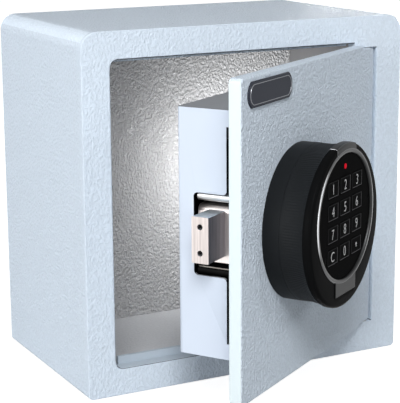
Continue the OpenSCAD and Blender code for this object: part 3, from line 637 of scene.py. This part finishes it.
def ring_bracket():
    """A strip from the ring's top over the rim, as one section (up, outwards) at each place across."""
    thick, soft, reach, clear = 0.3, 1.8, 4.0, 0.02
    u = np.linspace(-BRACKET_W / 2, BRACKET_W / 2, 25)
    start = PAD_RISE + np.sqrt((RING_R - RING_OVERLAP) ** 2 - u ** 2)
    rim, wrap = np.sqrt(KNOB_R ** 2 - u ** 2), np.sqrt((KNOB_R + thick) ** 2 - u ** 2)
    lines = [(start, RING_FACE - 0.05)]
    for t in np.linspace(0, math.pi / 2, 7):
        lines.append((wrap - soft * (1 - math.sin(t)), KNOB_H + thick - soft * (1 - math.cos(t))))
    lines += [(wrap, KNOB_H - reach), (rim + clear, KNOB_H - reach), (rim + clear, KNOB_H), (start, KNOB_H)]
    rows = np.array([np.stack([u, np.full(len(u), -float(h)), v], 1) for v, h in lines])
    bracket = piece("ring_bracket", skin(np.transpose(rows, (1, 0, 2))[::-1]), on_knob, "knob",
                    BRACKET_METAL)
    # The bracket's last face, its end, takes a painted highlight
    bracket.data.materials.append(BRACKET_END_HIGHLIGHT)
    bracket.data.polygons[len(bracket.data.polygons) - 1].material_index = 1


def ring_tab():
    """A flat tab below the ring, and a thin dark slab in the knob's face below the tab: a painted shadow of
    the tab.
    """
    half, low = TAB_W / 2, PAD_RISE - RING_R - TAB_DROP
    u = np.linspace(-half, half, 25)
    top = PAD_RISE - np.sqrt((RING_R - RING_OVERLAP) ** 2 - u ** 2)
    outline = np.concatenate([[[-half, low], [half, low]], np.stack([u, top], 1)[::-1]])
    piece("ring_tab", slab(outline, -KNOB_H, -RING_FACE, round_front=0.25), on_knob, "knob", TAB_METAL)
    margin, shadow_low, shadow_high, corner, sunk, proud = 0.6, low - 2.1, low - 0.1, 0.4, 0.6, 0.03
    shadow_outline = rounded_outline(-half + margin, half - margin, shadow_low, shadow_high, [corner] * 4, 4)
    # Painted shadow below the tab
    piece("tab_shadow", slab(shadow_outline, -KNOB_H + sunk, -KNOB_H - proud), on_knob, "knob", SCREW_BLACK_AND_SHADOW)


def indicator_lamp():
    """A low dome in the panel's hole."""
    radius = 1.4
    dome = [(radius, -PAD_FACE + PAD_SINK), (radius, -PAD_FACE - 0.02), (1.2, -PAD_FACE - 0.10),
            (0.7, -PAD_FACE - 0.15)]
    piece("indicator_lamp_piece", turned(dome, 32, (0, PAD_RISE + LAMP_Z)), on_knob, "knob", LAMP_RED,
          ["indicator_lamp"])


def written(name, text, size, centre, depth):
    """A flat sign on a key, made from the built-in letters, narrowed and thickened to a solid."""
    narrow = 0.86
    curve = bpy.data.curves.new(name + "_letters", "FONT")
    curve.body = text
    curve.size = size
    curve.align_x = "CENTER"
    curve.extrude = 0.03
    curve.offset = -0.07
    curve.resolution_u = 4
    letters = bpy.data.objects.new(name + "_letters", curve)
    bpy.context.scene.collection.objects.link(letters)
    bpy.context.view_layer.update()
    mesh = bpy.data.meshes.new_from_object(letters)
    bpy.data.objects.remove(letters)
    points = np.zeros(len(mesh.vertices) * 3)
    mesh.vertices.foreach_get("co", points)
    points = points.reshape(-1, 3)
    middle = (points.max(0) + points.min(0)) / 2
    x = (points[:, 0] - middle[0]) * narrow + centre[0]
    z = points[:, 1] - middle[1] + centre[1]
    placed = np.stack([x, depth - (points[:, 2] - middle[2]), z], 1)
    faces = [list(p.vertices) for p in mesh.polygons]
    bpy.data.meshes.remove(mesh)
    return placed, faces


def arrow_sign(centre, depth):
    """A small upright arrow for the enter key, as a thin slab."""
    stem, head, foot, neck, tip, half = 0.35, 1.1, -1.3, 0.1, 1.4, 0.03
    outline = np.array([[-stem, foot], [stem, foot], [stem, neck], [head, neck], [0, tip], [-head, neck],
                        [-stem, neck]])
    return slab(outline + np.array(centre), depth + half, depth - half)


def keys():
    """Twelve keys in four rows of three, each with its sign and an outline, brighter at the lower right as
    painted light.
    """
    signs = {"key_%d" % digit: str(digit) for digit in range(1, 10)}
    signs.update(key_clear="C", key_0="0", key_enter=None)
    top, letter_size = -PAD_FACE - 0.17, 7.6
    line_outer, line_inner, line_half = 0.32, 0.62, 0.02
    low, high = top + line_half, top - line_half
    for i, (name, sign) in enumerate(signs.items()):
        x, z = (i % 3 - 1) * KEY_STEP_X, PAD_RISE + KEY_ROWS[i // 3] * KEY_STEP_Z
        outline = rounded_outline(x - KEY_W / 2, x + KEY_W / 2, z - KEY_H / 2, z + KEY_H / 2, [KEY_R] * 4, 4)
        cap = slab(outline, -PAD_FACE + PAD_SINK, top, round_front=0.15)
        piece(name + "_cap", cap, on_knob, name, KEY_PLASTIC, [name])
        rows = [at_depth(inset(outline, d), y) for d, y in
                ((line_inner, low), (line_outer, low), (line_outer, high), (line_inner, high))]
        line = piece(name + "_line", skin(rows, joined=True), on_knob, name, LINE_PRINT)
        middle = outline - [x, z]
        lit = np.tile(middle[:, 0] / KEY_W - middle[:, 1] / KEY_H > 0, 4)
        line.data.materials.append(LINE_LIT)
        line.data.polygons.foreach_set("material_index", lit.astype(int).tolist())
        if sign:
            shape = written(name, sign, letter_size, (x, z), top)
        else:
            shape = arrow_sign((x, z), top)
        piece(name + "_sign", shape, on_knob, name, PRINT)


# Bolt work

def rubbed_line():
    """A painted highlight: a bright line along the lower guide's round nose, where the carrier comes in."""
    angles, proud, sunk, back, front = np.radians([122, 136]), 0.02, 0.2, 34.0, DOOR_T + 0.3
    arc = np.stack([np.cos(angles), np.sin(angles)], 1)
    outline = np.concatenate([arc * (GUIDE_NOSE + proud), arc[::-1] * (GUIDE_NOSE - sunk)])
    piece("rubbed_line", slab(outline + [GUIDE_X, GUIDE_Z], back, front), on_door, "door", HIGHLIGHT_STEEL)


# Pieces that stay as the solid part has them

def dress(names, material, soften=0.0):
    """Gives solids of the part their finish. A soft edge comes from welding the mesh and bevelling it."""
    for name in names:
        obj = NODES[name]
        obj.data.materials.clear()
        obj.data.materials.append(material)
        if soften:
            weld = obj.modifiers.new("weld", "WELD")
            weld.merge_threshold = 1e-6
            bevel = obj.modifiers.new("soft edge", "BEVEL")
            bevel.width = soften * MM
            bevel.segments = 2
            bevel.limit_method = "ANGLE"
            bevel.angle_limit = math.radians(40)
            bevel.harden_normals = True


def line_inside():
    """Faces of the shell that look into the cabinet take the inside paint, which is darker partly as painted
    shade and smoother on the floor.

    The wall beside the hinge is darker with painted shade, and the upper folds outside are a little brighter
    with a painted highlight. The back panel has the inside paint on its inner face alone.
    """
    mesh = NODES["cabinet_shell"].data
    centre, normal = face_directions(mesh)
    inward = ((centre - [0, 0, BODY_H / 2]) * normal).sum(1) < -BODY_W / 4
    sideways, upwards = 0.25, 0.35
    fold = (np.abs(normal[:, 0]) > sideways) & (normal[:, 2] > upwards)
    mesh.materials.append(WALL_ENAMEL_SHADED)
    mesh.materials.append(FLOOR_ENAMEL)
    mesh.materials.append(FOLD_HIGHLIGHT_ENAMEL)
    mesh.materials.append(HINGE_WALL_SHADE)
    index = inward * (1 + (normal[:, 2] > FACING))
    # Painted shade on the inside wall beside the hinge
    index[inward & (normal[:, 0] < -FACING)] = 4
    # Painted highlight on the shell's upper folds
    index[~inward & fold] = 3
    mesh.polygons.foreach_set("material_index", index.tolist())
    mesh = NODES["back_panel"].data
    mesh.materials.append(INNER_ENAMEL_SHADED)
    inner = face_directions(mesh)[1][:, 1] < -FACING
    mesh.polygons.foreach_set("material_index", inner.astype(int).tolist())


def shade_bolt():
    """Faces of the bolt and the box that look up or towards the door plate take painted light and shade: a
    painted highlight on the bolt's top, painted shade on its side and on the box's top and front.

    They see the cabinet's ceiling or the unlit back of the door.
    """
    outwards = [math.sin(DOOR_OPEN), -math.cos(DOOR_OPEN), 0]
    for name, forward, upward in (("bolt_block", BOLT_SIDE_SHADE, BOLT_TOP_HIGHLIGHT), ("bolt_box", BOX_FRONT_SHADE, BOX_SHADE)):
        mesh = NODES[name].data
        mesh.materials.append(forward)
        mesh.materials.append(upward)
        normal = face_directions(mesh)[1]
        index = np.where(normal[:, 2] > FACING, 2, (normal @ outwards > FACING).astype(int))
        mesh.polygons.foreach_set("material_index", index.tolist())


def solids():
    """Every solid that no piece stands for. Dressing clears its materials, so those by face come after it."""
    dress(["cabinet_shell", "back_panel", "stop_top"], ENAMEL)
    # Painted shade: the lower stop takes the darker lip paint
    dress(["stop_bottom"], LIP_SHADE_PAINT)
    line_inside()
    dress(["bolt_box"], BOX_PAINT, soften=0.35)
    dress(["box_posts", "strike_bracket", "upper_guide", "spindle_bush"], ZINC)
    dress(["bolt_block"], BOLT_STEEL, soften=0.4)
    shade_bolt()
    dress(["bolt_carrier"], CARRIER_STEEL, soften=0.25)
    dress(["bolt_screws"], SCREW_BLACK_AND_SHADOW)
    # The lower guide is painted near black as painted shade
    dress(["lower_guide"], GUIDE_SHADE)
    dress(["hinge_pin_top", "hinge_pin_bottom", "hinge_washer", "box_screws", "base_screws", "spindle",
           "spindle_washer", "crank_disc", "crank_pin", "locking_pin"], PIN_STEEL)
    dress(["keypad_panel"], PAD_PLASTIC, soften=0.1)
    dress(["lock_motor"], MOTOR_PLASTIC, soften=0.6)
    dress(["circuit_board"], BOARD_GREEN)
    dress(["batteries"], CELL_WRAP)


# Room, light and camera

def white_to_rays(tree, plain, output):
    """Camera, mirror and glass rays see white; every other ray sees the plain shader alone.

    On the floor the white is added to the plain shader, a little less near the object, so its shadow stays.
    """
    rays = tree.nodes.new("ShaderNodeLightPath")
    seen = rays.outputs["Is Camera Ray"]
    for label in ("Is Glossy Ray", "Is Transmission Ray"):
        either = tree.nodes.new("ShaderNodeMath")
        either.operation = "MAXIMUM"
        tree.links.new(seen, either.inputs[0])
        tree.links.new(rays.outputs[label], either.inputs[1])
        seen = either.outputs["Value"]
    on_floor = plain.name == "BSDF"
    white = tree.nodes.new("ShaderNodeEmission" if on_floor else "ShaderNodeBackground")
    white.inputs["Color"].default_value = (1, 1, 1, 1)
    shown = white.outputs[0]
    if on_floor:
        place = tree.nodes.new("ShaderNodeTexCoord")
        away = tree.nodes.new("ShaderNodeVectorMath")
        away.operation = "LENGTH"
        tree.links.new(place.outputs["Object"], away.inputs[0])
        glow = tree.nodes.new("ShaderNodeMapRange")
        glow.inputs["From Min"].default_value = 0.15
        glow.inputs["From Max"].default_value = 0.6
        glow.inputs["To Min"].default_value = 0.86
        tree.links.new(away.outputs["Value"], glow.inputs["Value"])
        tree.links.new(glow.outputs["Result"], white.inputs["Strength"])
        both = tree.nodes.new("ShaderNodeAddShader")
        tree.links.new(shown, both.inputs[0])
        tree.links.new(plain, both.inputs[1])
        shown = both.outputs["Shader"]
    mix = tree.nodes.new("ShaderNodeMixShader")
    tree.links.new(seen, mix.inputs["Fac"])
    tree.links.new(plain, mix.inputs[1])
    tree.links.new(shown, mix.inputs[2])
    tree.links.new(mix.outputs["Shader"], tree.nodes[output].inputs["Surface"])


def room():
    """A pale floor just under the part and a dim white world."""
    size, height = 6.0, -0.0005
    paint = finish("pale floor", (0.45, 0.45, 0.45), 0.9, IOR=1.05)
    shader = paint.node_tree.nodes["Principled BSDF"]
    white_to_rays(paint.node_tree, shader.outputs["BSDF"], "Material Output")
    mesh = bpy.data.meshes.new("floor")
    corners = [(x * size, y * size, height) for x, y in ((-1, -1), (1, -1), (1, 1), (-1, 1))]
    mesh.from_pydata(corners, [], [(0, 1, 2, 3)])
    mesh.materials.append(paint)
    floor = bpy.data.objects.new("floor", mesh)
    bpy.context.scene.collection.objects.link(floor)
    world = bpy.data.worlds.new("studio")
    bpy.context.scene.world = world
    world.use_nodes = True
    back = world.node_tree.nodes["Background"]
    back.inputs["Color"].default_value = (1.0, 1.0, 1.0, 1)
    back.inputs["Strength"].default_value = 0.05
    white_to_rays(world.node_tree, back.outputs["Background"], "World Output")


def lamp(name, place, aim, size, power):
    """A square white soft box at a place, facing a point."""
    light = bpy.data.lights.new(name, "AREA")
    light.shape = "SQUARE"
    light.size = size
    light.energy = power
    obj = bpy.data.objects.new(name, light)
    obj.location = place
    obj.rotation_mode = "QUATERNION"
    obj.rotation_quaternion = (Vector(aim) - Vector(place)).to_track_quat("-Z", "Y")
    bpy.context.scene.collection.objects.link(obj)


def lamps():
    """Soft boxes about two metres away, most at the front and left, and small lights behind the door."""
    middle = (0, 0, 0.1)
    lamp("high left box", (-0.7, -1.3, 1.4), middle, 0.6, 27.5)
    lamp("high front box", (-0.223, -1.266, 1.632), middle, 0.6, 5.5)
    lamp("low front box", (-0.3, -1.95, 0.3), middle, 0.6, 5.1)
    lamp("right front box", (1.2, -1.5, 1.0), middle, 0.6, 5.1)
    lamp("left box", (-1.85, -0.68, 0.378), middle, 0.9, 17.0)
    lamp("left rear box", (-1.9, 0.2, 0.6), middle, 0.9, 10.0)
    lamp("rear box", (1.3, 1.6, 0.2), middle, 0.4, 8.0)
    lamp("mouth light", (-0.02, -0.05, 0.11), (0.03, 0.06, 0.11), 0.03, 0.018)
    lamp("cavity light", (0.016, -0.007, 0.1), (0.05, 0.06, 0.1), 0.03, 0.052)
    lamp("deep cavity light", (0.045, 0.0, 0.1), (0.09, 0.06, 0.1), 0.03, 0.107)


def camera():
    """The photograph's viewing angle: place, heading, dip and roll from the edges of the object."""
    place = Vector((-0.38449, -0.74079, 0.27743))
    heading, dip, roll = (math.radians(v) for v in (27.4295, 12.7729, -0.3964))
    forward = Vector((math.sin(heading) * math.cos(dip), math.cos(heading) * math.cos(dip), -math.sin(dip)))
    right = Vector((math.cos(heading), -math.sin(heading), 0))
    up = right.cross(forward)
    turned_right = math.cos(roll) * right + math.sin(roll) * up
    turned_up = -math.sin(roll) * right + math.cos(roll) * up
    data = bpy.data.cameras.new("camera")
    data.sensor_width = 36.0
    data.lens = 127.732
    data.clip_start, data.clip_end = 0.05, 50
    obj = bpy.data.objects.new("camera", data)
    bpy.context.scene.collection.objects.link(obj)
    turn = Matrix((turned_right, turned_up, -forward)).transposed()
    obj.rotation_mode = "QUATERNION"
    obj.rotation_quaternion = turn.to_quaternion()
    obj.location = place
    bpy.context.scene.camera = obj


camera()
front_frame()
hinge_lugs()
door_plate()
nameplate()
knob_base()
knob_barrel()
keypad_ring()
ring_bracket()
ring_tab()
indicator_lamp()
keys()
rubbed_line()
solids()
room()
lamps()
bpy.context.scene.view_settings.view_transform = "Standard"
